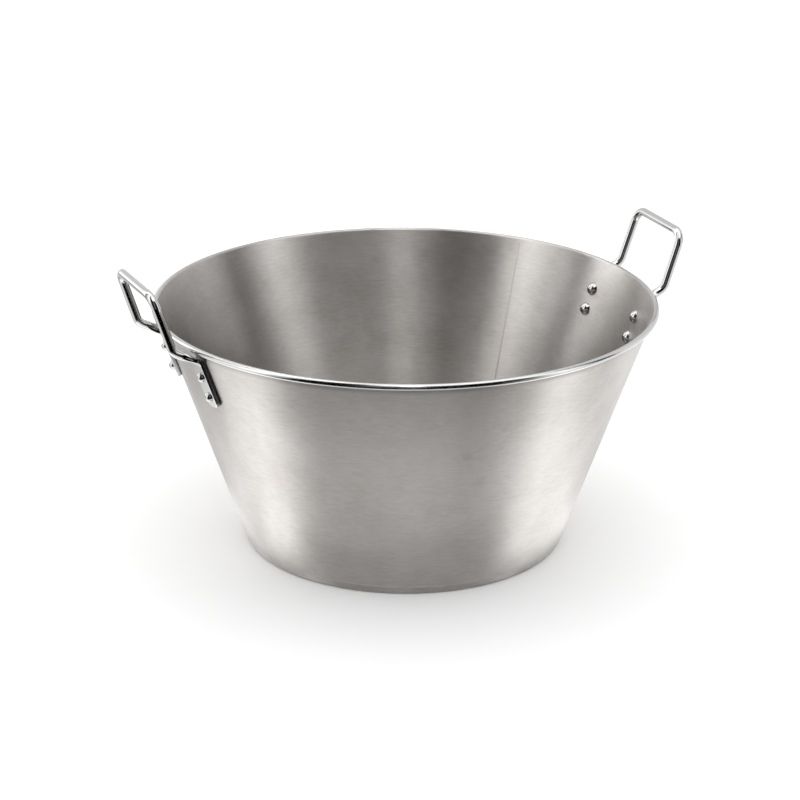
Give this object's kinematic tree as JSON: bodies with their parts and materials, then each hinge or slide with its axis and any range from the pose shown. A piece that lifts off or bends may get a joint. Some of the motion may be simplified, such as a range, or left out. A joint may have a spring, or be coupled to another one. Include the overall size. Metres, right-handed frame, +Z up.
{
  "type": "brew kettle",
  "caption": "Open conical stainless-steel brew kettle with a rolled rim, a flat round base and bent-rod side handles riveted to the wall.",
  "frame": {"origin": "centre of the base's underside, on the floor", "axes": "+Z up along the vessel's axis; +X towards the right handle, with both handles turned 1.7 degrees off the X axis towards -Y; -Y is the front"},
  "size_m": [0.569, 0.5, 0.3025],
  "materials": {
    "brushed_wall": "brushed around the vessel's axis",
    "polished_rod": "bright polished stainless rod",
    "polished_rivet": "bright polished stainless rivet"
  },
  "bodies": {
    "root": {"kettle_wall": "brushed_wall", "kettle_base": "brushed_wall", "handle_right": "polished_rod", "handle_left": "polished_rod", "rivet_right_front_upper": "polished_rivet", "rivet_right_front_lower": "polished_rivet", "rivet_right_rear_upper": "polished_rivet", "rivet_right_rear_lower": "polished_rivet", "rivet_left_front_upper": "polished_rivet", "rivet_left_front_lower": "polished_rivet", "rivet_left_rear_upper": "polished_rivet", "rivet_left_rear_lower": "polished_rivet"}
  },
  "joints": []
}
